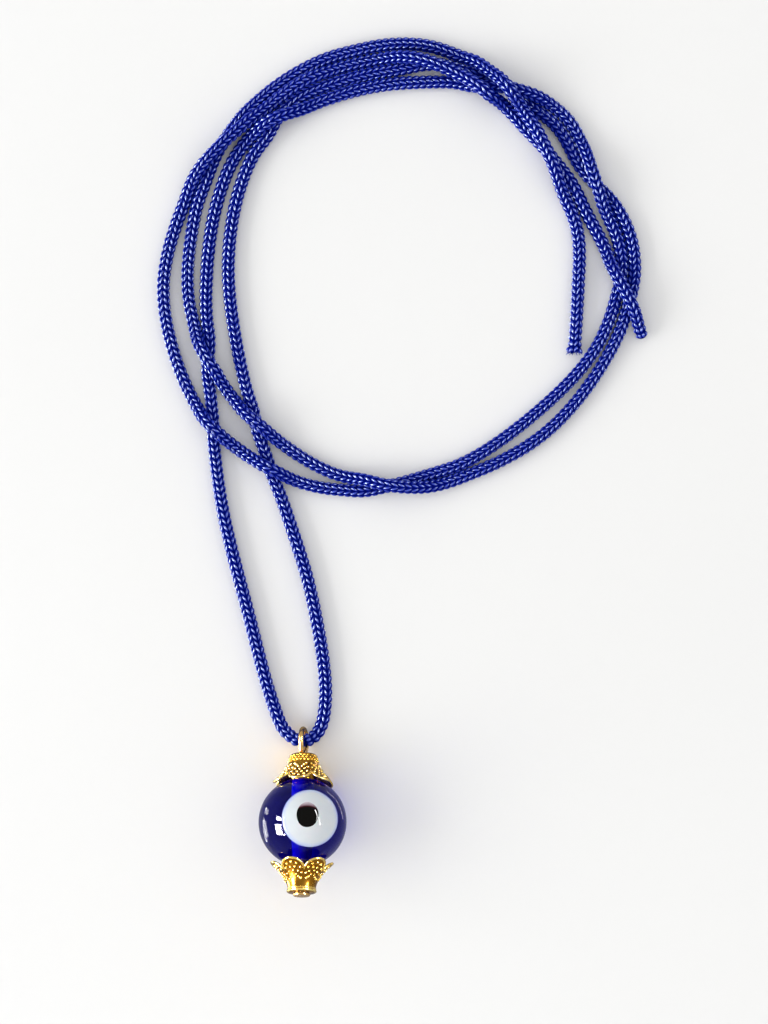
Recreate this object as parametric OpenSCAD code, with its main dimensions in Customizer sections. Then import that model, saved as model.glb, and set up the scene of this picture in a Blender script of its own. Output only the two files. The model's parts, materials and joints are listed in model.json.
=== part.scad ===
// Evil eye ornament: a glass eye bead between two flower-shaped bead caps, threaded on a looped head pin
// that hangs from a knitted cord. It lies on a table: the bead and the wire loop rest on z = 0, the cord
// runs through the loop and lies behind it in two loose rounds. Units are millimetres, +Z is up.

/* [Bead] */
// Diameter of the round glass bead
bead_d = 12; // [10:0.5:14]
// Length of the bead between the flat ends of its bore
bead_l = 11; // [8:0.5:11.5]
// Diameter of the bore through the bead
bore_d = 2; // [1.2:0.1:2.4]

/* [Eye] */
// Diameter of the white disc fused into the bead
white_d = 7.7; // [5:0.1:8.5]
// Width of the black pupil
pupil_w = 3.1; // [2:0.1:3.5]
// Height of the black pupil, along the pin
pupil_h = 3.6; // [3.5:0.1:4.2]
// How far the bead is turned about the pin, in degrees
eye_turn = 14.5; // [-180:0.5:180]
// How far the white disc leans towards the bottom cap, in degrees
eye_lean = 6.5; // [-15:0.5:15]
// How far the pupil is turned about the pin, in degrees
pupil_turn = 8.5; // [-180:0.5:180]
// How far the pupil leans towards the bottom cap, in degrees
pupil_lean = 3; // [-15:0.5:15]

/* [Bead caps] */
// Diameter across the petal tips of a bead cap
cap_d = 8.4; // [7:0.1:9]
// Diameter of the narrow end of a bead cap
neck_d = 3.7; // [3:0.1:4.5]
// Length of a bead cap
cap_l = 4.1; // [3.5:0.1:5]
// Number of petals round the rim of a cap
petals = 6; // [4:1:8]
// Radius of the round tip of each petal
petal_r = 1.85; // [1.6:0.05:2.4]
// How far the top cap is turned about the pin, in degrees, from a petal at the front
top_cap_turn = -8; // [-180:1:180]
// How far the bottom cap is turned about the pin, in degrees, from a petal at the front
bottom_cap_turn = -22; // [-180:1:180]

/* [Head pin] */
// Diameter of the pin's wire
wire_d = 0.7; // [0.5:0.05:0.9]
// Inner diameter of the loop turned at the pin's top
loop_id = 2.5; // [2.2:0.1:3.5]
// Diameter of the pin's flat head
head_d = 2.3; // [1.6:0.1:3]
// Angle that the loop's wire goes round, in degrees
loop_sweep = 335; // [300:1:345]
// How far the loop is turned about the pin, in degrees, from edge-on to the front
loop_turn = -7; // [-10:1:10]

/* [Cord] */
// Diameter of the knitted cord
cord_d = 1.8; // [1.4:0.1:2]

/* [Hidden] */
$fn = 96;

// Along the pin, measured from the bead's centre towards the loop
top_rim_z = 5.2;
bottom_rim_z = -5.6;
end_gap = 0.15;
top_end_z = top_rim_z + cap_l;
bottom_end_z = bottom_rim_z - cap_l;
head_h = 0.4;
head_z = bottom_end_z - end_gap / 3 - head_h;
loop_r = (loop_id + wire_d) / 2;
loop_or = loop_r + wire_d / 2;
loop_z = top_end_z + end_gap + loop_or;

// Bead: the eye's glass is inlaid, and stands a little proud of the blue
bead_r = bead_d / 2;
inlay_depth = 0.5;
white_rise = 0.05;
pupil_rise = 0.1;
pupil_depth = 0.2;

// Bead cap: a solid neck that flares to a thin scalloped rim, seated on the bead's flat end
cap_r = cap_d / 2;
neck_r = neck_d / 2;
cap_wall = 0.4;
seat_l = cap_l - 0.35;
seat_r = 2.5;
groove_l = cap_l - 0.8;
neck_hollow_r = 1.25;
neck_floor = 0.6;
pin_hole_r = 0.5;
shoulder = 0.2;
gap_r = 2.6;
tip_flat = 0.02;
flare_steps = 8;

// Lying at rest on the bead and on the loop's wire, with y = 0 halfway from the head to the loop's top
rest_tilt = asin((bead_r - loop_or) / loop_z);
rest_top = loop_z * cos(rest_tilt) + loop_or;
rest_bottom = head_z * cos(rest_tilt) - head_d / 2 * sin(rest_tilt);
rest_y = -(rest_top + rest_bottom) / 2;

// The cord's route, in the part's own frame, from the middle of the loop to each free end
left_route = [
    [0, 9.2, 1.9], [-2.5, 10.5, 1.5], [-4.5, 15, 1], [-7.5, 26, 1], [-11.5, 42.5, 1],
    [-13, 57.5, 1], [-13.5, 74, 1], [-12, 84, 1], [-9, 91, 1.5], [-5, 94.5, 2.8],
    [1, 97.5, 2.3], [10, 100, 1], [21, 100.5, 1.6], [25.5, 100, 2.8], [31, 98.5, 2.7],
    [36.5, 95.5, 1.8], [39.5, 88.5, 2.8], [42, 82.5, 2.4], [44, 76, 1], [41, 64.5, 1],
    [32, 54.5, 1], [19.5, 46.5, 1], [5.5, 44, 1], [-0.5, 45, 1.6], [-5, 47, 2.9],
    [-12.5, 52.5, 2.9], [-17, 60, 1], [-19.5, 72.5, 1], [-15.5, 86, 2.4], [-10.5, 92.5, 2.9],
    [-4.5, 97.5, 2.8], [2.5, 101.5, 2.4], [10, 103.5, 2.2], [17.5, 103, 2.8], [24.5, 99.5, 4.6],
    [28.5, 96.5, 2.2], [34, 90.5, 1], [41, 79, 1.1], [44.5, 71, 3.1], [47, 65, 1.5]
];
right_route = [
    [0, 9.2, 1.9], [2, 10.5, 1.5], [3, 15.5, 1], [1, 29.5, 1], [-2.5, 41, 1],
    [-6.5, 52.5, 1], [-9.5, 65, 1], [-10.5, 75.5, 1], [-9, 85.5, 1], [-5.5, 93, 1],
    [0, 99, 1], [8.5, 101.5, 1], [18, 103, 1], [27, 100, 1], [34, 95.5, 1],
    [39.5, 87.5, 1], [45, 80, 1], [45.5, 71.5, 1], [41.5, 61.5, 1], [33, 51.5, 1],
    [21, 45.5, 2.1], [12.5, 44.5, 2.9], [3.5, 46.5, 1.8], [-4.5, 51.5, 2.9], [-10.5, 57.5, 2.4],
    [-13.5, 62.5, 2.9], [-16, 70.5, 1.2], [-15.5, 80, 1], [-13, 89, 1], [-7, 97, 1],
    [1, 102.5, 1], [10, 105.5, 1], [17.5, 105.5, 1], [23.5, 103, 2.8], [27.5, 100, 4.7],
    [30.5, 96, 3.4], [35, 88, 2.8], [38, 79.5, 1], [38, 71.5, 1], [37.5, 63, 1]
];
cord_sides = 8;

// Moves a sub-part from the pin's own axes, loop up and eye forward, to where it lies at rest
module at_rest() {
    translate([0, rest_y, bead_r]) rotate([-90 - rest_tilt, 0, 0]) children();
}

// Turns a bar along +Z to point out through the front of the bead, leaning towards the bottom cap
module facing(turn, lean) {
    rotate([0, 0, turn]) rotate([90 + lean, 0, 0]) children();
}

// The space that the white disc fills, outside a ball of radius inner
module white_space(inner) {
    difference() {
        facing(eye_turn, eye_lean) cylinder(d = white_d, h = bead_d);
        sphere(r = inner);
    }
}

// The space that the pupil fills: a bar with round ends, a little taller than it is wide
module pupil_space(inner) {
    reach = (pupil_h - pupil_w) / 2;
    difference() {
        facing(pupil_turn, pupil_lean) linear_extrude(height = bead_d) union() {
            for (y = [-reach, reach]) {
                translate([0, y]) circle(d = pupil_w);
            }
            square([pupil_w, 2 * reach], center = true);
        }
        sphere(r = inner);
    }
}

module glass_bead() {
    color([0.05, 0.04, 0.55]) at_rest() difference() {
        intersection() {
            sphere(r = bead_r);
            cylinder(r = bead_r, h = bead_l, center = true);
        }
        cylinder(d = bore_d, h = bead_d, center = true);
        white_space(bead_r - inlay_depth);
    }
}

module eye_white() {
    color([0.9, 0.93, 0.96]) at_rest() difference() {
        intersection() {
            sphere(r = bead_r + white_rise);
            white_space(bead_r - inlay_depth);
        }
        pupil_space(bead_r - pupil_depth);
    }
}

module eye_pupil() {
    color([0.03, 0.03, 0.03]) at_rest() intersection() {
        sphere(r = bead_r + pupil_rise);
        pupil_space(bead_r - pupil_depth);
    }
}

// Radius of a cap's outside, a distance s from its narrow end
function flare(s) = neck_r + (cap_r - neck_r) * pow(s / cap_l, 2);

// A cap's outline from its axis, with the narrow end at 0 and the mouth at cap_l
module cap_outline() {
    polygon(concat(
        [[0, 0], [neck_r - shoulder, 0]],
        [for (i = [0:flare_steps]) let (s = shoulder + (cap_l - shoulder) * i / flare_steps) [flare(s), s]],
        [[cap_r - cap_wall, cap_l], [flare(groove_l) - cap_wall, groove_l], [seat_r, seat_l], [0, seat_l]]
    ));
}

// The gap between two petals, which is what their round tips leave of the rim
module petal_gap() {
    tip_l = cap_l - petal_r + tip_flat;
    half = flare(groove_l) * sin(180 / petals);
    translate([gap_r, 0, 0]) rotate([90, 0, 90]) linear_extrude(height = cap_r) difference() {
        translate([-half, tip_l]) square([2 * half, cap_l]);
        for (y = [-half, half]) {
            translate([y, tip_l]) circle(r = petal_r);
        }
    }
}

module bead_cap() {
    difference() {
        rotate_extrude() cap_outline();
        translate([0, 0, neck_floor]) cylinder(r = neck_hollow_r, h = cap_l);
        translate([0, 0, -1]) cylinder(r = pin_hole_r, h = cap_l);
        for (i = [0:petals - 1]) rotate([0, 0, (i + 0.5) * 360 / petals - 90]) petal_gap();
    }
}

module top_bead_cap() {
    color([0.83, 0.62, 0.2]) at_rest()
        translate([0, 0, top_end_z]) mirror([0, 0, 1]) rotate([0, 0, top_cap_turn]) bead_cap();
}

module bottom_bead_cap() {
    color([0.83, 0.62, 0.2]) at_rest()
        translate([0, 0, bottom_end_z]) rotate([0, 0, bottom_cap_turn]) bead_cap();
}

module head_pin() {
    color([0.86, 0.68, 0.28]) at_rest() union() {
        translate([0, 0, head_z]) cylinder(d = head_d, h = head_h);
        translate([0, 0, head_z]) cylinder(d = wire_d, h = loop_z - loop_r - head_z);
        translate([0, 0, loop_z - loop_r]) sphere(d = wire_d);
        translate([0, 0, loop_z]) rotate([0, 0, loop_turn]) rotate([0, 90, 0])
            rotate_extrude(angle = loop_sweep) translate([loop_r, 0]) circle(d = wire_d);
    }
}

// Direction of the route at point i; the first point leaves the loop along start
function heading(route, start, i) =
    let (
        n = len(route),
        d = i == 0 ? start : route[min(i + 1, n - 1)] - route[i - 1]
    ) d / norm(d);

// One ring of the cord's tube, square to its heading
function ring(centre, ahead) =
    let (
        across = cross([0, 0, 1], ahead),
        side = across / norm(across),
        up = cross(ahead, side)
    ) [for (k = [0:cord_sides - 1]) let (a = (k + 0.5) * 360 / cord_sides)
        centre + cord_d / 2 * (cos(a) * side + sin(a) * up)];

module cord_tube(route, start) {
    n = len(route);
    m = cord_sides;
    points = [for (i = [0:n - 1]) each ring(route[i], heading(route, start, i))];
    walls = [for (i = [0:n - 2], k = [0:m - 1])
        [i * m + k, i * m + (k + 1) % m, (i + 1) * m + (k + 1) % m, (i + 1) * m + k]];
    near_end = [for (k = [m - 1:-1:0]) k];
    far_end = [for (k = [0:m - 1]) (n - 1) * m + k];
    polyhedron(points = points, faces = concat(walls, [near_end, far_end]));
}

module cord_left() {
    color([0.02, 0.08, 0.6]) cord_tube(left_route, [-1, 0, 0]);
}

module cord_right() {
    color([0.02, 0.08, 0.6]) cord_tube(right_route, [1, 0, 0]);
}

cord_left();
cord_right();
head_pin();
glass_bead();
eye_white();
eye_pupil();
top_bead_cap();
bottom_bead_cap();
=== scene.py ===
"""Looks of the evil eye ornament: a glass eye bead between two gold flower caps on a looped pin,
hung on a long knitted cord that lies on a white table. Everything is in metres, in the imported
frame. The cord's routes and the pendant's sizes follow the CAD parts."""

import json
import math

import bmesh
import bpy
import numpy as np
from mathutils import Matrix, Vector


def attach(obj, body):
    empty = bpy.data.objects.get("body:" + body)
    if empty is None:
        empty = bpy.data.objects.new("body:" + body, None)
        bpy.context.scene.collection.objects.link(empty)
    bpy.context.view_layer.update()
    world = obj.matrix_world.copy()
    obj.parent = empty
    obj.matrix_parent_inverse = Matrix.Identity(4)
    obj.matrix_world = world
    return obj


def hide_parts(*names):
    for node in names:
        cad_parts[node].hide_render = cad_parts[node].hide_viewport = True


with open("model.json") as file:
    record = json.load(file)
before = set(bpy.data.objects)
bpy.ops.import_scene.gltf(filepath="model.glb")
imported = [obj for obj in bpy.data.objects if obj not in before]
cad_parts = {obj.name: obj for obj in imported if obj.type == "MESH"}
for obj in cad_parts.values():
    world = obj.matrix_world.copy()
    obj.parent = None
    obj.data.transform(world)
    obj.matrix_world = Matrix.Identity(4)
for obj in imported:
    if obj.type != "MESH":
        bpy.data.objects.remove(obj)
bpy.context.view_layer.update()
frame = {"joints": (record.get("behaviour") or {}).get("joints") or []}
joints = {j["name"]: j for j in frame["joints"]}
MM = 0.001

# ---------------------------------------------------------------------------------------------
# Camera: straight above the table, as a phone is held
# ---------------------------------------------------------------------------------------------
CAMERA_PLACE = (0.0111, 0.0409, 0.300)
CAMERA_LENS = 75.8  # mm


def add_camera():
    data = bpy.data.cameras.new("camera")
    data.lens = CAMERA_LENS
    data.clip_start = 0.01
    camera = bpy.data.objects.new("camera", data)
    camera.location = CAMERA_PLACE
    bpy.context.scene.collection.objects.link(camera)
    bpy.context.scene.camera = camera


# ---------------------------------------------------------------------------------------------
# Cord: the two halves of one knitted cord, from the middle of the pin's loop to the free ends
# ---------------------------------------------------------------------------------------------
CORD_D = 1.8 * MM
LEFT_ROUTE = [
    [0, 9.2, 1.9], [-2.5, 10.5, 1.5], [-4.5, 15, 1], [-7.5, 26, 1], [-11.5, 42.5, 1],
    [-13, 57.5, 1], [-13.5, 74, 1], [-12, 84, 1], [-9, 91, 1.5], [-5, 94.5, 2.8],
    [1, 97.5, 2.3], [10, 100, 1], [21, 100.5, 1.6], [25.5, 100, 2.8], [31, 98.5, 2.7],
    [36.5, 95.5, 1.8], [39.5, 88.5, 2.8], [42, 82.5, 2.4], [44, 76, 1], [41, 64.5, 1],
    [32, 54.5, 1], [19.5, 46.5, 1], [5.5, 44, 1], [-0.5, 45, 1.6], [-5, 47, 2.9],
    [-12.5, 52.5, 2.9], [-17, 60, 1], [-19.5, 72.5, 1], [-15.5, 86, 2.4], [-10.5, 92.5, 2.9],
    [-4.5, 97.5, 2.8], [2.5, 101.5, 2.4], [10, 103.5, 2.2], [17.5, 103, 2.8], [24.5, 99.5, 4.6],
    [28.5, 96.5, 2.2], [34, 90.5, 1], [41, 79, 1.1], [44.5, 71, 3.1], [47, 65, 1.5],
]
RIGHT_ROUTE = [
    [0, 9.2, 1.9], [2, 10.5, 1.5], [3, 15.5, 1], [1, 29.5, 1], [-2.5, 41, 1],
    [-6.5, 52.5, 1], [-9.5, 65, 1], [-10.5, 75.5, 1], [-9, 85.5, 1], [-5.5, 93, 1],
    [0, 99, 1], [8.5, 101.5, 1], [18, 103, 1], [27, 100, 1], [34, 95.5, 1],
    [39.5, 87.5, 1], [45, 80, 1], [45.5, 71.5, 1], [41.5, 61.5, 1], [33, 51.5, 1],
    [21, 45.5, 2.1], [12.5, 44.5, 2.9], [3.5, 46.5, 1.8], [-4.5, 51.5, 2.9], [-10.5, 57.5, 2.4],
    [-13.5, 62.5, 2.9], [-16, 70.5, 1.2], [-15.5, 80, 1], [-13, 89, 1], [-7, 97, 1],
    [1, 102.5, 1], [10, 105.5, 1], [17.5, 105.5, 1], [23.5, 103, 2.8], [27.5, 100, 4.7],
    [30.5, 96, 3.4], [35, 88, 2.8], [38, 79.5, 1], [38, 71.5, 1], [37.5, 63, 1],
]
LOOP_HOLD = 6 * MM  # this much of the cord on each side of the pin's loop keeps its route

# The knit: 8 columns of slanting legs round the cord, which meet in pairs as V stitches
STITCH = 0.92 * MM
LEG_COLUMNS = 8
POINTS_ACROSS_LEG = 6
ROWS_PER_STITCH = 5
LEG_SLANT = 0.85 * MM  # how far a leg runs along the cord while it crosses its column
GROOVE_R = 0.62 * MM  # the cord's radius in the gaps between legs
CREST_R = 0.95 * MM  # and at the middle of a leg
ROUNDED_END = 0.8 * MM  # how much of a tidy end is rounded off
FRAYED_END = 1.6 * MM  # how much of a cut end flares out
FRAYED_FLARE = 0.32
LOOSE_FILAMENTS = 22
FILAMENT_R = 0.045 * MM

# How the cord comes to rest, step by step, as a line of points
REST_STEP_L = 0.5 * CORD_D
REST_STEPS = 160
SMOOTHING = 0.6
DRAWN_PULL = 0.03  # how strongly it keeps to its route, seen from above
SAG = 0.01 * MM
TOUCH_ROUNDS = 2  # how often each step parts the strands that touch
TOUCH_PUSH = 1.2
TABLE_GAP = 0.03 * MM


def spaced(line, step):
    """The line again, with points evenly spaced, about a step apart."""
    along = np.concatenate([[0], np.cumsum(np.linalg.norm(np.diff(line, axis=0), axis=1))])
    at = np.linspace(0, along[-1], max(2, round(along[-1] / step) + 1))
    return np.stack([np.interp(at, along, line[:, k]) for k in range(3)], axis=1)


def smooth_curve(points, step):
    """A centripetal Catmull-Rom curve through the points, as points about a step apart."""
    p = np.array(points, float)
    p = np.concatenate([[2 * p[0] - p[1]], p, [2 * p[-1] - p[-2]]])
    knots = np.concatenate([[0], np.cumsum(np.linalg.norm(np.diff(p, axis=0), axis=1) ** 0.5)])
    pieces = []
    for i in range(1, len(p) - 2):
        k = knots[i - 1 : i + 3]
        t = np.linspace(k[1], k[2], 40, endpoint=False)[:, None]
        a = [
            (k[j + 1] - t) / (k[j + 1] - k[j]) * p[i - 1 + j]
            + (t - k[j]) / (k[j + 1] - k[j]) * p[i + j]
            for j in range(3)
        ]
        b = [
            (k[j + 2] - t) / (k[j + 2] - k[j]) * a[j] + (t - k[j]) / (k[j + 2] - k[j]) * a[j + 1]
            for j in range(2)
        ]
        pieces.append((k[2] - t) / (k[2] - k[1]) * b[0] + (t - k[1]) / (k[2] - k[1]) * b[1])
    pieces.append(p[-2:-1])
    return spaced(np.concatenate(pieces), step)


def settle(line, held):
    """The cord's line after it has come to rest: it bends smoothly, lies on the table or on
    itself, and its strands lie beside or across each other without passing into each other."""
    drawn, line = line.copy(), line.copy()
    count = len(line)
    step = np.linalg.norm(line[1] - line[0])
    index = np.arange(count)
    apart = np.triu(index[None, :] - index[:, None] > 2.5 * CORD_D / step)
    for _ in range(REST_STEPS):
        middle = (line[:-2] + line[2:]) / 2 - line[1:-1]
        pull = np.zeros_like(line)
        pull[1:-1] += 0.5 * middle
        pull[2:-2] -= 0.25 * (middle[:-2] + middle[2:])
        line += SMOOTHING * pull
        line[:, :2] += DRAWN_PULL * (drawn[:, :2] - line[:, :2])
        line[:, 2] -= SAG
        for _ in range(TOUCH_ROUNDS):
            gap = line[:, None, :] - line[None, :, :]
            distance = np.sqrt((gap * gap).sum(2))
            i, j = np.nonzero(apart & (distance < CORD_D))
            d = distance[i, j][:, None]
            push = gap[i, j] / np.maximum(d, 1e-6) * (CORD_D - d) / 2
            moved, times = np.zeros_like(line), np.zeros((count, 1))
            np.add.at(moved, i, push)
            np.add.at(moved, j, -push)
            np.add.at(times, i, 1)
            np.add.at(times, j, 1)
            line += moved / np.maximum(times, 1) * TOUCH_PUSH
            line[:, 2] = np.maximum(line[:, 2], CORD_D / 2 + TABLE_GAP)
        line[held] = drawn[held]
    return line


def cord_frames(line):
    """The heading, the sideways and the upward direction at each point of a line lying flat."""
    ahead = np.gradient(line, axis=0)
    ahead /= np.linalg.norm(ahead, axis=1)[:, None]
    side = np.cross([0, 0, 1], ahead)
    side /= np.linalg.norm(side, axis=1)[:, None]
    return ahead, side, np.cross(ahead, side)


def knitted_tube(name, line, frayed):
    """A closed tube of knitted stitches that follows the line, from the loop to its free end."""
    length = np.linalg.norm(np.diff(line, axis=0), axis=1).sum()
    rows = int(length / STITCH * ROWS_PER_STITCH)
    around = LEG_COLUMNS * POINTS_ACROSS_LEG
    row, spoke = np.meshgrid(np.arange(rows + 1), np.arange(around), indexing="ij")
    leg = spoke // POINTS_ACROSS_LEG
    across = spoke % POINTS_ACROSS_LEG / POINTS_ACROSS_LEG
    uphill = np.where(leg % 2 == 0, across, 1 - across)
    flat = row * length / rows
    from_end = np.minimum(flat, length - flat)
    along = flat + (uphill - 0.5) * LEG_SLANT * np.clip(from_end / (3 * LEG_SLANT), 0, 1)

    crest = np.abs(np.sin(math.pi * row / ROWS_PER_STITCH)) ** 0.8
    plump = 0.15 + 0.85 * np.abs(np.sin(math.pi * across)) ** 0.8
    height = crest * plump
    radius = GROOVE_R + (CREST_R - GROOVE_R) * height
    tip = np.clip((length - flat) / (FRAYED_END if frayed else ROUNDED_END), 0, 1)
    if frayed:
        radius *= 1 + FRAYED_FLARE * (1 - tip) ** 1.5
    else:
        radius *= np.sqrt(1 - 0.75 * (1 - tip) ** 2)

    # The knit turns slowly round the cord, as cord does that has been wound and unwound
    roll = 0.5 * np.sin(along / (31 * MM)) + 0.35 * np.sin(along / (13 * MM) + 1.0)
    angle = 2 * math.pi * spoke / around + roll
    at = np.linspace(0, length, len(line))
    ahead, side, up = cord_frames(line)

    def sample(values):
        return np.stack([np.interp(along, at, values[:, k]) for k in range(3)], axis=2)

    outwards = np.cos(angle)[..., None] * sample(side) + np.sin(angle)[..., None] * sample(up)
    points = sample(line) + radius[..., None] * outwards
    if frayed:
        ragged = 0.16 * np.sin(3 * angle + 0.4) + 0.12 * np.sin(7 * angle + 2.0) - 0.1
        points += (ragged * (1 - tip) * MM)[..., None] * ahead[-1]
    points[..., 2] = np.maximum(points[..., 2], 0.01 * MM)
    a = (row[:-1] * around + spoke[:-1]).ravel()
    b = (row[:-1] * around + (spoke[:-1] + 1) % around).ravel()
    faces = np.stack([a, b, b + around, a + around], axis=1).tolist()
    ends = [list(range(around))[::-1], list(range(rows * around, (rows + 1) * around))]
    thread = np.stack([row / ROWS_PER_STITCH, across, leg + 0.0 * row], axis=2).reshape(-1, 3)
    height = height.ravel()
    parts = [(points.reshape(-1, 3), faces + ends)]
    if frayed:
        parts += loose_filaments(line[-1], ahead[-1], side[-1], up[-1])
        extra = sum(len(part[0]) for part in parts[1:])
        height = np.concatenate([height, np.full(extra, 0.7)])
        thread = np.concatenate([thread, np.zeros((extra, 3))])
    obj = mesh_object(name, *joined(*parts))
    add_attribute(obj, "height", height)
    add_attribute(obj, "thread", thread)
    return obj


def loose_filaments(end, ahead, side, up):
    """Short filaments that stick out of a cut end and curl away from it."""
    filaments = []
    for k in range(LOOSE_FILAMENTS):
        turn = 2.4 * k
        out = math.cos(turn) * side + math.sin(turn) * up
        around = np.cross(ahead, out)
        reach = (0.12 + 0.2 * math.sin(5.1 * k)) * MM
        share = np.linspace(0, 1, 9)[:, None]
        line = end + out * (0.72 + 0.1 * math.sin(3.7 * k)) * MM - ahead * 0.35 * MM
        line = line + share * (ahead * (0.35 * MM + reach) + out * 0.22 * MM)
        line += share**2 * (out * 0.12 + around * 0.25 * math.sin(1.9 * k)) * MM
        line[:, 2] = np.maximum(line[:, 2], 0.06 * MM)
        filaments.append(wire(line, FILAMENT_R, 6))
    return filaments


# ---------------------------------------------------------------------------------------------
# Mesh helpers
# ---------------------------------------------------------------------------------------------
def mesh_object(name, verts, faces, smooth=True):
    """A new object in the scene with these points and faces."""
    mesh = bpy.data.meshes.new(name)
    mesh.from_pydata(np.asarray(verts, float).tolist(), [], [list(map(int, f)) for f in faces])
    mesh.validate()
    if smooth:
        mesh.shade_smooth()
    obj = bpy.data.objects.new(name, mesh)
    bpy.context.scene.collection.objects.link(obj)
    return obj


def add_attribute(obj, name, values):
    """Stores a number or a vector for each of the mesh's points, for its material to read."""
    values = np.asarray(values, np.float32)
    kind, field = ("FLOAT", "value") if values.ndim == 1 else ("FLOAT_VECTOR", "vector")
    attribute = obj.data.attributes.new(name, kind, "POINT")
    attribute.data.foreach_set(field, values.ravel())


def place(obj, matrix, piece_body, slot, *nodes):
    """Puts a piece made in the pin's own axes where it lies, and tells the frame what it is."""
    obj.data.transform(matrix)
    finish_piece(obj, piece_body, slot, *nodes)


def finish_piece(obj, piece_body, slot, *nodes):
    """Tells the frame which body a piece rides on, and hides the nodes that it stands for. The slot
    is not used.
    """
    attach(obj, piece_body)
    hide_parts(*nodes)


def revolve(profile, segments, start=0.0):
    """Points and faces of a closed profile of (radius, height) pairs turned about the z axis."""
    profile = np.array(profile, float)
    n = len(profile)
    turn = start + np.arange(segments) * 2 * math.pi / segments
    r, z = profile[:, 0], profile[:, 1]
    x, y = np.outer(np.cos(turn), r), np.outer(np.sin(turn), r)
    verts = np.stack([x, y, np.tile(z, (segments, 1))], axis=2)
    return verts.reshape(-1, 3), grid_faces(segments, n, True, True)


def grid_faces(rows, columns, rows_close, columns_close):
    """The quads of a grid of points, row after row."""
    faces = []
    for i in range(rows if rows_close else rows - 1):
        for j in range(columns if columns_close else columns - 1):
            k, m = (i + 1) % rows, (j + 1) % columns
            faces.append((i * columns + j, k * columns + j, k * columns + m, i * columns + m))
    return faces


def arc(centre, radius, first, last, count):
    """Points on an arc, with angles in degrees."""
    angles = np.radians(np.linspace(first, last, count))
    return [(centre[0] + radius * math.cos(a), centre[1] + radius * math.sin(a)) for a in angles]


def wire(line, radius, sides, closed=False):
    """Points and faces of a round wire along a line; radius may change along it."""
    line = np.array(line, float)
    n = len(line)
    ahead = np.roll(line, -1, 0) - np.roll(line, 1, 0) if closed else np.gradient(line, axis=0)
    ahead /= np.linalg.norm(ahead, axis=1)[:, None]
    normal = np.cross(ahead[0], [0.31, 0.17, 0.93])
    sides_of = []
    for k in range(n):
        normal = normal - ahead[k] * (normal @ ahead[k])
        normal /= np.linalg.norm(normal)
        sides_of.append(normal.copy())
    across = np.array(sides_of)
    over = np.cross(ahead, across)
    turn = (np.arange(sides) * 2 * math.pi / sides)[None, :, None]
    r = np.broadcast_to(radius, n)[:, None, None]
    ring = np.cos(turn) * across[:, None, :] + np.sin(turn) * over[:, None, :]
    verts = (line[:, None, :] + r * ring).reshape(-1, 3)
    faces = grid_faces(n, sides, closed, True)
    if not closed:
        faces += [tuple(range(sides)), tuple(range((n - 1) * sides, n * sides))[::-1]]
    return verts, faces


def ball(centre, radius, rings=5, segments=8):
    """Points and faces of a small ball."""
    verts = []
    for i in range(1, rings):
        tilt = math.pi * i / rings
        for j in range(segments):
            turn = 2 * math.pi * j / segments
            out = math.sin(tilt)
            verts.append((out * math.cos(turn), out * math.sin(turn), math.cos(tilt)))
    faces = grid_faces(rings - 1, segments, False, True)
    top, bottom = len(verts), len(verts) + 1
    verts += [(0, 0, 1), (0, 0, -1)]
    last = (rings - 2) * segments
    faces += [(top, j, (j + 1) % segments) for j in range(segments)]
    faces += [(bottom, last + (j + 1) % segments, last + j) for j in range(segments)]
    return np.array(verts) * radius + np.array(centre), faces


def joined(*parts):
    """Several (points, faces) pairs as one."""
    verts, faces, base = [], [], 0
    for v, f in parts:
        verts.append(np.asarray(v, float))
        faces += [tuple(int(i) + base for i in face) for face in f]
        base += len(v)
    return np.concatenate(verts), faces


def recalculate_normals(obj):
    """Joins points that coincide, and turns every face of a closed piece outwards."""
    edit = bmesh.new()
    edit.from_mesh(obj.data)
    bmesh.ops.remove_doubles(edit, verts=edit.verts, dist=1e-7)
    bmesh.ops.recalc_face_normals(edit, faces=edit.faces)
    edit.to_mesh(obj.data)
    edit.free()


# ---------------------------------------------------------------------------------------------
# Pendant: made in the pin's own axes, the bead's centre at 0, the loop up +Z and the eye to -Y
# ---------------------------------------------------------------------------------------------
BEAD_R = 6 * MM
BEAD_L = 11 * MM
BORE_R = 1 * MM
WHITE_R = 3.85 * MM
PUPIL_W = 3.1 * MM
PUPIL_H = 3.6 * MM
EYE_TURN, EYE_LEAN = math.radians(14.5), math.radians(6.5)
PUPIL_TURN, PUPIL_LEAN = math.radians(8.5), math.radians(3)

INLAY_UNDERSIDE = 0.02 * MM  # how much deeper the eye's glass goes than the dip it fills
WHITE_RISE, WHITE_DEPTH, WHITE_WAVER = 0.05 * MM, 0.5 * MM, 0.012
PUPIL_RISE, PUPIL_DEPTH, PUPIL_WAVER = 0.07 * MM, 0.15 * MM, 0.03

CAP_R = 4.2 * MM
CAP_L = 4.1 * MM
NECK_R = 1.85 * MM
PETALS = 6
PETAL_R = 1.85 * MM
CAP_WALL = 0.32 * MM
PETAL_START = CAP_L - 0.8 * MM  # where the rim's scallops begin, from the narrow end
LIP_L = 1.4 * MM  # where the thin wall of the petals ends inside the cap
SEAT_OUTLINE = (  # the cap's inside from its petals to its hole: radius, and height in mm
    (1.55, 1.35), (1.6, 3.55), (1.5, 3.7), (1.3, 3.7), (1.2, 3.55),
    (1.2, 0.6), (0.5, 0.6), (0.5, 0.1), (0.6, 0),
)
RIM_REACH = 78  # degrees that a petal's rim wire runs down each side of the petal
GRAIN_ARCS = (  # grains on a petal: the arc's radius in mm, how many, their size in mm, degrees
    (1.32, 9, 0.19, 118), (0.82, 6, 0.17, 120), (0.35, 3, 0.16, 110),
)
NECK_BANDS = ((0.2, 0.17), (0.5, 0.09))  # height and thickness in mm
NECK_ROWS = ((0.25, -0.09), (0.6, 0.0), (0.95, 0.0))  # grains: height and how proud, in mm
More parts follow.
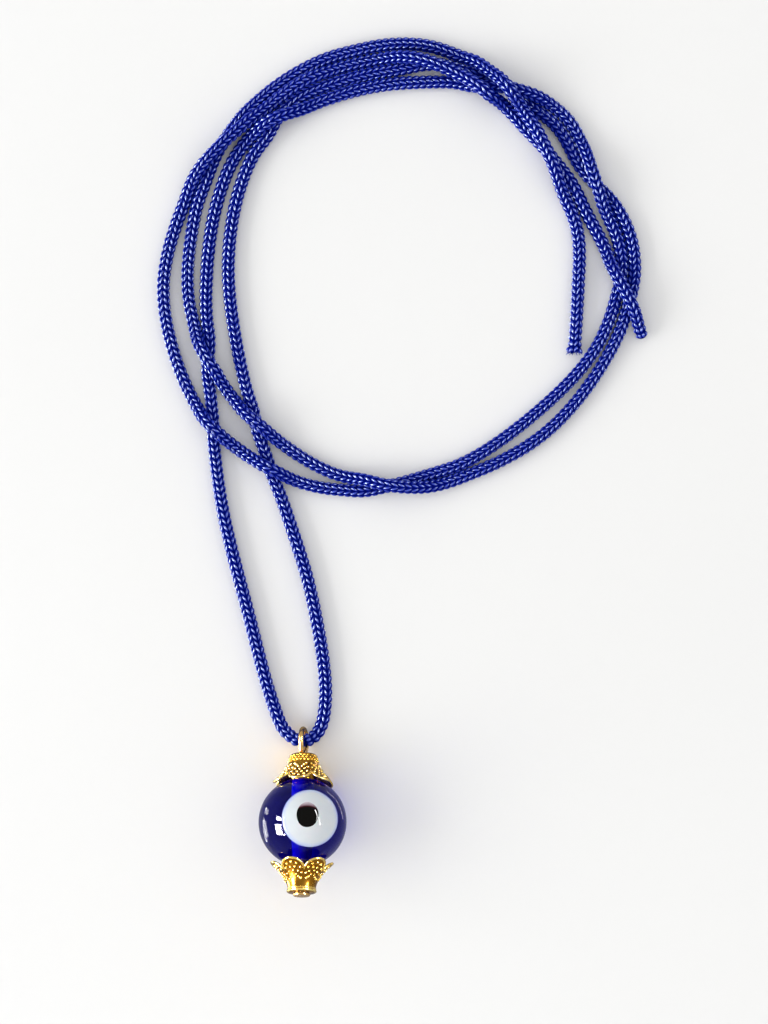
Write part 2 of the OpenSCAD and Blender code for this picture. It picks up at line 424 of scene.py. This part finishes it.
NECK_GRAIN_R = 0.19 * MM
NECK_GRAIN_STEP = 0.52 * MM
NECK_L = 1.3 * MM
TOP_CAP_END = 9.3 * MM
BOTTOM_CAP_END = -9.7 * MM
TOP_CAP_TURN, BOTTOM_CAP_TURN = -8, -22

WIRE_R = 0.35 * MM
LOOP_R = 1.6 * MM
LOOP_Z = 11.4 * MM
LOOP_TURN = -7
LOOP_START, LOOP_END = 24, 295  # degrees: the loop is round between these
LOOP_SKEW = 0.14 * MM  # how far the loop's wire passes to the side of its own shank
HEAD_R = 1.15 * MM
HEAD_H = 0.4 * MM
HEAD_Z = -10.15 * MM


def pin_matrix():
    """From the pin's own axes to where the pendant lies, taken from the bead's joint."""
    joint = joints["bead_spin"]
    along = Vector(joint["axis"]).normalized()
    across = Vector((1, 0, 0))
    back = along.cross(across)
    matrix = Matrix((across, back, along)).transposed().to_4x4()
    matrix.translation = Vector(joint["pos_m"])
    return matrix


def eye_matrix(turn, lean):
    """Turns +Z to point out of the bead at the front, with +Y along the pin."""
    return Matrix.Rotation(turn, 4, "Z") @ Matrix.Rotation(math.pi / 2 + lean, 4, "X")


def glass_bead():
    """A round bead with a drilled bore and softly melted edges at its two flat ends."""
    end = BEAD_L / 2
    flat_r = math.sqrt(BEAD_R**2 - end**2)
    edge = 0.25 * MM
    tilt = math.degrees(math.acos(end / BEAD_R))
    outside = arc((0, 0), BEAD_R, 90 - tilt - 1.5, -90 + tilt + 1.5, 90)
    low = [(flat_r - edge, -end), (BORE_R + edge, -end)]
    low += arc((BORE_R + edge, -end + edge), edge, -90, -180, 5)
    inside = [(BORE_R, z) for z in np.linspace(-end + 2 * edge, end - 2 * edge, 24)]
    high = arc((BORE_R + edge, end - edge), edge, 180, 90, 5)
    high += [(flat_r - edge, end)]
    verts, faces = revolve(outside + low + inside + high, 144)
    obj = mesh_object("glass_bead_melted", verts, faces)
    recalculate_normals(obj)
    return obj


def line_bore(bead):
    """Gives the faces of the bore the bead's second material."""
    for face in bead.data.polygons:
        if math.hypot(face.center.x, face.center.y) < 1.02 * BORE_R:
            face.material_index = 1


def lens(name, half_w, half_h, matrix, rise, depth, waver):
    """Glass fused into the bead's surface: an oval that stands a little proud of it and rounds off
    at its edge, with a slightly uneven outline, as hand-dripped glass has."""
    rings, spokes = 28, 144
    turn = np.arange(spokes) * 2 * math.pi / spokes
    wave = 0.5 * np.sin(2 * turn + 0.6) + 0.3 * np.sin(3 * turn + 2.1) + 0.2 * np.sin(5 * turn)
    edge = 1 + waver * wave
    levels = [(k / rings, True) for k in range(1, rings + 1)]
    levels += [(k / 8, False) for k in range(8, 0, -1)]
    verts = [(0, 0, BEAD_R + rise)]
    for share, outer in levels:
        x = half_w * share * edge * np.cos(turn)
        y = half_h * share * edge * np.sin(turn)
        if outer:
            height = rise * math.sqrt(max(1 - share**14, 0))
        else:
            height = -depth * (1 - share**2) - INLAY_UNDERSIDE
        ball_r = BEAD_R + height
        z = np.sqrt(np.maximum(ball_r**2 - x * x - y * y, 0))
        verts += list(zip(x, y, z))
    verts.append((0, 0, BEAD_R - depth - INLAY_UNDERSIDE))
    n = len(levels)
    faces = [(0, 1 + (j + 1) % spokes, 1 + j) for j in range(spokes)]
    faces += [tuple(1 + i for i in face) for face in grid_faces(n, spokes, False, True)]
    last = 1 + (n - 1) * spokes
    faces += [(len(verts) - 1, last + j, last + (j + 1) % spokes) for j in range(spokes)]
    obj = mesh_object(name, verts, faces)
    add_attribute(obj, "rim", [0.0] + [share for share, _ in levels for _ in range(spokes)] + [0.0])
    add_attribute(obj, "spot", np.array(verts) / (half_w, half_h, BEAD_R))
    recalculate_normals(obj)
    obj.data.transform(matrix)
    return obj


def flare(s):
    """Radius of a cap's outside, a distance s from its narrow end."""
    return NECK_R + (CAP_R - NECK_R) * (s / CAP_L) ** 2


def petal_edge(turn):
    """How far the scalloped rim reaches from the narrow end, at angles from a petal's middle."""
    half = flare(PETAL_START) * math.sin(math.pi / PETALS)
    wrapped = (turn + math.pi / PETALS) % (2 * math.pi / PETALS) - math.pi / PETALS
    sideways = np.abs(wrapped) / (math.pi / PETALS) * half
    return CAP_L - PETAL_R + np.sqrt(np.maximum(PETAL_R**2 - sideways**2, 0))


def on_cap(turn, s, lift=0.0):
    """A point on a cap's outside, at an angle and a distance from the narrow end."""
    slope = 2 * (CAP_R - NECK_R) * s / CAP_L**2
    out = 1 / math.sqrt(1 + slope * slope)
    r = flare(s) + lift * out
    return (r * math.cos(turn), r * math.sin(turn), s - lift * slope * out)


def cap_shell():
    """The thin cast shell of a cap, with its scalloped rim and the seat for the bead inside it."""
    turns = 240
    turn = np.arange(turns) * 2 * math.pi / turns
    rim = petal_edge(turn)
    rows = []
    for share in np.linspace(0, 1, 26):
        s = np.maximum(share * rim, 0.12 * MM * (share == 0))
        rows.append((flare(s) - 0.1 * MM * (share == 0), s * (share > 0)))
    rows.append((flare(rim) - 0.5 * CAP_WALL, rim + 0.06 * MM))
    for share in np.linspace(0, 1, 12):
        s = rim - share * (rim - LIP_L)
        rows.append((flare(s) - CAP_WALL, s))
    rows += [(np.full(turns, r * MM), np.full(turns, s * MM)) for r, s in SEAT_OUTLINE]
    verts = np.array([(r * np.cos(turn), r * np.sin(turn), s) for r, s in rows])
    return verts.transpose(0, 2, 1).reshape(-1, 3), grid_faces(len(rows), turns, True, True)


def cap_trim(banded):
    """The raised work on a cap: a rim wire round each petal, grains inside it, and either more
    grains round the narrow end or a smooth neck that ends in a band."""
    parts = []
    half_angle = math.pi / PETALS
    tip = CAP_L - PETAL_R
    half = flare(PETAL_START) * math.sin(half_angle)

    def spot(petal, sideways, s):
        return petal * 2 * half_angle + sideways / half * half_angle, s

    for petal in range(PETALS):
        reach = np.radians(np.linspace(-RIM_REACH, RIM_REACH, 49))
        across, along = PETAL_R - 0.1 * MM, PETAL_R - 0.06 * MM
        line = [
            on_cap(*spot(petal, across * math.sin(a), tip + along * math.cos(a))) for a in reach
        ]
        taper = np.clip((RIM_REACH - np.abs(np.degrees(reach))) / 15, 0.3, 1)
        parts.append(wire(line, 0.17 * MM * taper, 10))
        for radius, count, size, spread in GRAIN_ARCS:
            for a in np.radians(np.linspace(-spread, spread, count)):
                turn, s = spot(petal, radius * MM * math.sin(a), tip + radius * MM * math.cos(a))
                parts.append(ball(on_cap(turn, s, 0.02 * MM), size * MM))
    if banded:
        ring = np.arange(96) * 2 * math.pi / 96
        for s, thick in NECK_BANDS:
            parts.append(wire([on_cap(a, s * MM) for a in ring], thick * MM, 10, True))
        return joined(*parts)
    for k, (s, proud) in enumerate(NECK_ROWS):
        count = round(2 * math.pi * flare(s * MM) / NECK_GRAIN_STEP)
        for j in range(count):
            turn = (j + 0.5 * k) * 2 * math.pi / count
            parts.append(ball(on_cap(turn, s * MM, proud * MM), NECK_GRAIN_R))
    return joined(*parts)


def bead_cap(name, matrix, banded):
    """A cap with its raised work, which is duller and browner round a grained neck."""
    shell, trim = cap_shell(), cap_trim(banded)
    verts, faces = joined(shell, trim)
    obj = mesh_object(name, verts, faces)
    raised = np.concatenate([np.zeros(len(shell[0])), np.ones(len(trim[0]))])
    if not banded:
        raised[verts[:, 2] < NECK_L] *= 0.4
    add_attribute(obj, "raised", raised)
    recalculate_normals(obj)
    obj.data.transform(matrix)
    return obj


def head_pin():
    """A length of wire with a flattened head below and a loop turned at its top."""
    free_end = [
        (-0.2 * MM, -0.62 * MM, TOP_CAP_END + 0.03 * MM),
        (-0.17 * MM, -1.02 * MM, LOOP_Z - 1.45 * MM),
    ]
    ring = [
        (LOOP_SKEW * math.sin(a), LOOP_R * math.sin(a), LOOP_Z - LOOP_R * math.cos(a))
        for a in np.radians(np.linspace(LOOP_END, LOOP_START, 54))
    ]
    bend = [(0, 0.03 * MM, LOOP_Z - LOOP_R - 0.3 * MM)]
    shank = [(0, 0, z) for z in np.linspace(LOOP_Z - LOOP_R - 0.9 * MM, HEAD_Z + HEAD_H / 2, 12)]
    turn = np.array(Matrix.Rotation(math.radians(LOOP_TURN), 3, "Z"))
    line = smooth_curve(np.array(free_end + ring + bend + shank) @ turn.T, 0.1 * MM)
    thick = np.full(len(line), WIRE_R)
    thick[:3] = WIRE_R * np.array([0.85, 0.95, 0.99])
    edge = 0.14 * MM
    head = [(0.0, HEAD_Z)] + arc((HEAD_R - edge, HEAD_Z + edge), edge, -90, 0, 6)
    head += arc((HEAD_R - edge, HEAD_Z + HEAD_H - edge), edge, 0, 90, 6)
    head.append((0.0, HEAD_Z + HEAD_H))
    obj = mesh_object("head_pin_wire", *joined(wire(line, thick, 20), revolve(head, 64)))
    recalculate_normals(obj)
    return obj


# ---------------------------------------------------------------------------------------------
# Materials
# ---------------------------------------------------------------------------------------------
GLASS_DEPTH = 900.0  # how strongly the blue glass takes up light, per metre


class Nodes:
    """A material's node tree, with short calls for the nodes that the materials here share."""

    def __init__(self, name):
        self.material = bpy.data.materials.new(name)
        self.material.use_nodes = True
        self.tree = self.material.node_tree
        self.shader = self.tree.nodes["Principled BSDF"]
        self.output = self.tree.nodes["Material Output"]

    def set(self, **values):
        for name, value in values.items():
            self.shader.inputs[name.replace("_", " ")].default_value = value

    def add(self, kind, settings=(), **inputs):
        node = self.tree.nodes.new(kind)
        for name, value in dict(settings).items():
            setattr(node, name, value)
        for name, value in inputs.items():
            self.feed(node.inputs[name.replace("_", " ")], value)
        return node

    def feed(self, socket, value):
        if isinstance(value, bpy.types.NodeSocket):
            self.tree.links.new(value, socket)
        else:
            socket.default_value = value

    def attribute(self, name, output="Fac"):
        return self.add("ShaderNodeAttribute", {"attribute_name": name}).outputs[output]

    def place(self):
        """A spot on the piece, as it lies at rest; it moves with the piece."""
        return self.add("ShaderNodeTexCoord").outputs["Object"]

    def noise(self, vector, scale, detail=2.0, roughness=0.5):
        node = self.add("ShaderNodeTexNoise", Vector=vector, Scale=scale)
        self.feed(node.inputs["Detail"], detail)
        self.feed(node.inputs["Roughness"], roughness)
        return node.outputs["Fac"]

    def stretch(self, vector, scale):
        return self.add("ShaderNodeMapping", Vector=vector, Scale=scale).outputs["Vector"]

    def ramp(self, value, *stops):
        node = self.add("ShaderNodeValToRGB", Fac=value)
        elements = node.color_ramp.elements
        while len(elements) < len(stops):
            elements.new(0.5)
        for element, (position, colour) in zip(elements, stops):
            element.position = position
            element.color = (*colour, 1.0) if len(colour) == 3 else colour
        return node.outputs["Color"]

    def scale(self, value, low, high, to_low, to_high):
        node = self.add("ShaderNodeMapRange", Value=value, From_Min=low, From_Max=high)
        self.feed(node.inputs["To Min"], to_low)
        self.feed(node.inputs["To Max"], to_high)
        return node.outputs["Result"]

    def math(self, operation, first, second=0.0):
        node = self.add("ShaderNodeMath", {"operation": operation})
        self.feed(node.inputs[0], first)
        self.feed(node.inputs[1], second)
        return node.outputs[0]

    def mix(self, factor, first, second):
        node = self.add("ShaderNodeMix", {"data_type": "RGBA"})
        self.feed(node.inputs["Factor"], factor)
        self.feed(node.inputs[6], first)
        self.feed(node.inputs[7], second)
        return node.outputs[2]

    def bump(self, height, strength, distance):
        node = self.add("ShaderNodeBump", Height=height, Strength=strength, Distance=distance)
        self.link(Normal=node.outputs["Normal"])

    def link(self, **values):
        for name, value in values.items():
            self.feed(self.shader.inputs[name.replace("_", " ")], value)


def cord_material():
    """Silky rayon yarn: plump bright legs and fine filaments along them, with painted shade that
    makes the gaps between the legs dark.
    """
    n = Nodes("cord_yarn")
    height = n.attribute("height")
    thread = n.attribute("thread", "Vector")
    filaments = n.noise(n.stretch(thread, (26.0, 1.6, 5.0)), 1.0, 3.0, 0.6)
    patches = n.noise(n.place(), 220.0, 2.0)
    # Painted shade: the yarn's blue darkens from the crests of the legs down into the gaps between
    # them.
    shade = n.ramp(
        height,
        (0.15, (0.0, 0.0005, 0.05)),
        (0.55, (0.0, 0.005, 0.22)),
        (0.95, (0.002, 0.036, 0.58)),
    )
    varied = n.mix(n.scale(patches, 0.3, 0.7, 0.0, 0.35), shade, (0.0, 0.004, 0.22, 1))
    streaked = n.mix(n.scale(filaments, 0.35, 0.7, 0.0, 0.3), varied, (0.004, 0.025, 0.6, 1))
    n.link(Base_Color=streaked, Roughness=n.scale(filaments, 0.3, 0.7, 0.28, 0.38))
    # Painted shade: the shine fades out towards the gaps between the legs.
    n.link(Specular_IOR_Level=n.scale(height, 0.5, 0.92, 0.0, 1.0))
    n.bump(filaments, 0.25, 0.00003)
    n.set(Specular_Tint=(0.80, 0.93, 1.0, 1))
    return n.material


def blue_glass_material():
    """Cobalt glass, darker the deeper one looks into it. Light from the lamps and from the table
    goes straight through it, and leaves a blue glow beside it."""
    n = Nodes("cobalt_glass")
    swirl = n.noise(n.stretch(n.place(), (180.0, 60.0, 180.0)), 1.0, 2.0)
    n.link(Base_Color=n.ramp(swirl, (0.35, (0.12, 0.07, 0.80)), (0.65, (0.16, 0.10, 0.88))))
    n.bump(n.noise(n.place(), 350.0, 1.0), 0.02, 0.0001)
    n.set(Roughness=0.0, IOR=1.52, Specular_Tint=(0.27, 0.25, 0.34, 1), Transmission_Weight=1.0)
    depth = n.add("ShaderNodeVolumeAbsorption", Color=(0.34, 0.10, 0.955, 1), Density=GLASS_DEPTH)
    n.feed(n.output.inputs["Volume"], depth.outputs[0])
    shadow = n.add("ShaderNodeBsdfTransparent", Color=(0.50, 0.50, 0.84, 1))
    ray = n.add("ShaderNodeLightPath")
    surface = n.shader
    for kind in ("Is Shadow Ray", "Is Diffuse Ray"):
        mixed = n.add("ShaderNodeMixShader")
        n.feed(mixed.inputs[0], ray.outputs[kind])
        n.feed(mixed.inputs[1], surface.outputs[0])
        n.feed(mixed.inputs[2], shadow.outputs[0])
        surface = mixed
    n.feed(n.output.inputs["Surface"], surface.outputs[0])
    return n.material


def bore_material():
    """The chalky lining that a rod left in the bead's bore, with painted shade on the side away
    from the window.
    """
    n = Nodes("bore_chalk")
    specks = n.noise(n.place(), 1500.0, 3.0)
    chalk = n.ramp(specks, (0.3, (0.22, 0.26, 0.50)), (0.7, (0.34, 0.38, 0.70)))
    # Painted shade, not wear: thin darkens the lining towards +X, the side away from the window.
    side = n.add("ShaderNodeSeparateXYZ", Vector=n.place()).outputs["X"]
    thin = n.scale(side, -0.4 * MM, 0.5 * MM, 0.0, 0.85)
    n.link(Base_Color=n.mix(thin, chalk, (0.05, 0.05, 0.08, 1)))
    n.bump(specks, 0.3, 0.00005)
    n.set(Roughness=0.9)
    return n.material


def white_glass_material():
    """Milky white glass, faintly blue where it melts into the bead at its rim."""
    n = Nodes("milk_glass")
    rim = n.attribute("rim")
    swirl = n.noise(n.stretch(n.place(), (260.0, 420.0, 260.0)), 1.0, 3.0, 0.6)
    edge = n.math("ADD", rim, n.scale(swirl, 0.3, 0.7, -0.03, 0.03))
    milk = n.ramp(
        edge,
        (0.0, (0.73, 0.76, 0.77)),
        (0.86, (0.69, 0.73, 0.76)),
        (0.96, (0.52, 0.59, 0.80)),
        (1.0, (0.16, 0.18, 0.66)),
    )
    n.link(Base_Color=n.mix(n.scale(swirl, 0.4, 0.75, 0.0, 0.3), milk, (0.58, 0.64, 0.72, 1)))
    n.set(Roughness=0.06, Specular_IOR_Level=0.14, Subsurface_Weight=0.15, Subsurface_Scale=0.0005)
    return n.material


def black_glass_material():
    """Black glass, dark red where it is thin towards the top of the pupil."""
    n = Nodes("pupil_glass")
    spot = n.add("ShaderNodeSeparateXYZ", Vector=n.attribute("spot", "Vector"))
    sideways = n.math("MULTIPLY", spot.outputs["X"], 0.6)
    upwards = n.math("ADD", spot.outputs["Y"], 0.2)
    squares = n.math("ADD", n.math("POWER", sideways, 2.0), n.math("POWER", upwards, 2.0))
    tone = n.ramp(
        n.math("MULTIPLY", n.math("SQRT", squares), 0.8),
        (0.56, (0.001, 0.001, 0.001)),
        (0.62, (0.012, 0.002, 0.003)),
        (0.67, (0.065, 0.012, 0.018)),
        (0.73, (0.30, 0.20, 0.24)),
        (0.88, (0.62, 0.54, 0.60)),
    )
    grain = n.noise(n.place(), 900.0, 2.0)
    n.link(Base_Color=n.mix(n.scale(grain, 0.4, 0.7, 0.0, 0.15), tone, (0.004, 0.002, 0.002, 1)))
    n.set(Roughness=0.05, Specular_IOR_Level=0.14)
    return n.material


def gold_material(name, rich, worn, dull):
    """Gold plate: brighter on raised work, browner and duller in the hollows, with fine wear."""
    n = Nodes(name)
    raised = n.attribute("raised")
    wear = n.noise(n.place(), 900.0, 4.0, 0.6)
    cloud = n.noise(n.place(), 260.0, 2.0)
    level = n.math("ADD", n.math("MULTIPLY", raised, 0.75), n.scale(cloud, 0.3, 0.7, 0.0, 0.25))
    tone = n.ramp(level, (0.1, dull), (0.75, rich), (1.0, worn))
    n.link(Base_Color=tone, Roughness=n.scale(wear, 0.35, 0.7, 0.12, 0.34))
    n.bump(wear, 0.35, 0.00003)
    n.set(Metallic=1.0)
    return n.material


def table_material():
    """A white lacquered table top, glossy enough to mirror the windows at a flat angle. Its
    reflection in polished pieces is painted: darker grey and shinier than the table is.
    """
    n = Nodes("white_lacquer")
    cloud = n.noise(n.place(), 6.0, 2.0)
    white = n.ramp(cloud, (0.3, (0.84, 0.84, 0.83)), (0.7, (0.88, 0.88, 0.87)))
    mirrored = n.add("ShaderNodeLightPath").outputs["Is Glossy Ray"]
    # Painted reflection: as polished pieces mirror it, the table turns darker grey and shinier.
    n.link(Base_Color=n.mix(mirrored, white, (0.30, 0.30, 0.32, 1)))
    n.link(IOR=n.scale(mirrored, 0.0, 1.0, 1.5, 2.4))
    n.set(Roughness=0.0)
    return n.material


# ---------------------------------------------------------------------------------------------
# Table and light: a window at the left, a thin lamp at the right and a pale room all round
# ---------------------------------------------------------------------------------------------
WINDOW_AWAY = 0.9
# Each pane's heading and rise in degrees, and its width and height: first as the light that it
# throws, then as what polished pieces mirror of it
PANES = ((168, 26, 0.20, 0.40), (197, 26, 0.46, 0.40))
BRIGHT_PANES = ((168, 26, 0.12, 0.28), (194, 26, 0.37, 0.30), (211, 36, 0.08, 0.12))
WINDOW_LIGHT = 17.0  # watts for each square metre of pane
WINDOW_GLARE = 360.0
TUBE_ENDS = ((0.555, 0.60, 0.63), (0.745, -0.06, 0.655))
TUBE_WIDTH = 0.035
TUBE_GLARE = 16.0  # watts
ROOM_LIGHT = ((1.0, 1.0, 1.0), (0.82, 0.82, 0.83))  # from the window's side to the far side
ROOM_GLARE = ((0.60, 0.60, 0.58), (0.56, 0.54, 0.46))  # the same room as polished pieces mirror it


def add_table():
    verts = [(-1.5, -1.5, 0), (1.5, -1.5, 0), (1.5, 1.5, 0), (-1.5, 1.5, 0)]
    table = mesh_object("table_top", verts, [(0, 1, 2, 3)], smooth=False)
    table.data.materials.append(table_material())


def add_windows():
    """The panes as light, and, a little nearer, as what polished pieces mirror of them."""
    for panes, away, power, mirrored in (
        (PANES, WINDOW_AWAY, WINDOW_LIGHT, False),
        (BRIGHT_PANES, 0.98 * WINDOW_AWAY, WINDOW_GLARE, True),
    ):
        for heading, rise, width, tall in panes:
            flat = math.cos(math.radians(rise))
            turn = math.radians(heading)
            up = math.sin(math.radians(rise))
            out = Vector((math.cos(turn) * flat, math.sin(turn) * flat, up))
            add_panel("window_pane", away * out, (width, tall), power * width * tall, mirrored)


def add_panel(name, spot, size, power, mirrored):
    """A bright panel that faces the pendant, either as light or as what polished pieces mirror."""
    data = bpy.data.lights.new(name, "AREA")
    data.shape = "RECTANGLE"
    data.size, data.size_y = size
    data.energy = power
    panel = bpy.data.objects.new(name, data)
    panel.location = spot
    panel.rotation_euler = spot.to_track_quat("Z", "Y").to_euler()
    panel.visible_glossy = mirrored
    panel.visible_diffuse = not mirrored
    panel.visible_transmission = False
    bpy.context.scene.collection.objects.link(panel)
    return panel


def add_tube_lamp():
    """A thin lamp high on the right, which shows as a bright line in the eye."""
    start, end = (Vector(spot) for spot in TUBE_ENDS)
    middle = (start + end) / 2
    size = ((end - start).length, TUBE_WIDTH)
    lamp = add_panel("tube_lamp", middle, size, TUBE_GLARE, True)
    along = (end - start).normalized()
    back = middle.normalized()
    back = (back - along * back.dot(along)).normalized()
    lamp.rotation_euler = Matrix((along, back.cross(along), back)).transposed().to_euler()


def add_room():
    """Soft light from a pale room, brighter on the window's side."""
    world = bpy.data.worlds.new("room")
    bpy.context.scene.world = world
    world.use_nodes = True
    nodes, links = world.node_tree.nodes, world.node_tree.links
    heading = nodes.new("ShaderNodeTexCoord")
    split = nodes.new("ShaderNodeSeparateXYZ")
    links.new(heading.outputs["Generated"], split.inputs[0])
    side = nodes.new("ShaderNodeMapRange")
    side.inputs["From Min"].default_value = -1
    links.new(split.outputs["X"], side.inputs["Value"])
    mix = nodes.new("ShaderNodeMix")
    mix.data_type = "RGBA"
    for socket, (near, far) in ((6, ROOM_LIGHT), (7, ROOM_GLARE)):
        ramp = nodes.new("ShaderNodeValToRGB")
        ramp.color_ramp.elements[0].color = (*near, 1)
        ramp.color_ramp.elements[1].color = (*far, 1)
        links.new(side.outputs[0], ramp.inputs[0])
        links.new(ramp.outputs[0], mix.inputs[socket])
    links.new(nodes.new("ShaderNodeLightPath").outputs["Is Glossy Ray"], mix.inputs["Factor"])
    links.new(mix.outputs[2], nodes["Background"].inputs["Color"])


# ---------------------------------------------------------------------------------------------
# Assembly
# ---------------------------------------------------------------------------------------------
def add_cords():
    """Lets the whole cord come to rest as one line, then knits each half of it."""
    route = np.array(LEFT_ROUTE[::-1] + RIGHT_ROUTE[1:], float) * MM
    line = smooth_curve(route, REST_STEP_L)
    loop = np.array(LEFT_ROUTE[0]) * MM
    middle = int(np.linalg.norm(line - loop, axis=1).argmin())
    held = np.abs(np.arange(len(line)) - middle) * REST_STEP_L < LOOP_HOLD
    line = settle(line, held)
    material = cord_material()
    for node, half, frayed in (
        ("cord_left", line[: middle + 1][::-1], False),
        ("cord_right", line[middle:], True),
    ):
        half = smooth_curve(half, 0.12 * MM)
        obj = knitted_tube(node + "_knit", half, frayed)
        obj.data.materials.append(material)
        finish_piece(obj, "cord", "cord", node)


def add_pendant():
    """Makes the bead, its eye, the caps and the pin, and places them as the pendant lies."""
    matrix = pin_matrix()
    bead = glass_bead()
    bead.data.materials.append(blue_glass_material())
    bead.data.materials.append(bore_material())
    line_bore(bead)
    place(bead, matrix, "bead", "blue_glass", "glass_bead")

    facing = eye_matrix(EYE_TURN, EYE_LEAN)
    shape = WHITE_RISE, WHITE_DEPTH, WHITE_WAVER
    white = lens("eye_white_lens", WHITE_R, WHITE_R, facing, *shape)
    white.data.materials.append(white_glass_material())
    place(white, matrix, "bead", "white_glass", "eye_white")

    facing = eye_matrix(PUPIL_TURN, PUPIL_LEAN)
    shape = PUPIL_RISE, PUPIL_DEPTH, PUPIL_WAVER
    pupil = lens("eye_pupil_lens", PUPIL_W / 2, PUPIL_H / 2, facing, *shape)
    pupil.data.materials.append(black_glass_material())
    place(pupil, matrix, "bead", "black_glass", "eye_pupil")

    gold = gold_material("cap_gold", (0.86, 0.56, 0.09), (1.0, 0.80, 0.29), (0.32, 0.14, 0.012))
    top = Matrix.Translation((0, 0, TOP_CAP_END)) @ Matrix.Scale(-1, 4, (0, 0, 1))
    top = top @ Matrix.Rotation(math.radians(TOP_CAP_TURN - 90), 4, "Z")
    bottom = Matrix.Translation((0, 0, BOTTOM_CAP_END))
    bottom = bottom @ Matrix.Rotation(math.radians(BOTTOM_CAP_TURN - 90), 4, "Z")
    for node, body, turned, banded in (
        ("top_bead_cap", "top_cap", top, False),
        ("bottom_bead_cap", "bottom_cap", bottom, True),
    ):
        cap = bead_cap(node + "_cast", turned, banded)
        cap.data.materials.append(gold)
        place(cap, matrix, body, "cap_metal", node)

    gold = gold_material("pin_gold", (0.80, 0.52, 0.20), (0.95, 0.76, 0.42), (0.75, 0.48, 0.18))
    pin = head_pin()
    pin.data.materials.append(gold)
    place(pin, matrix, "pin", "pin_metal", "head_pin")


add_camera()
add_cords()
add_pendant()
add_table()
add_windows()
add_tube_lamp()
add_room()
bpy.context.scene.view_settings.view_transform = "Standard"
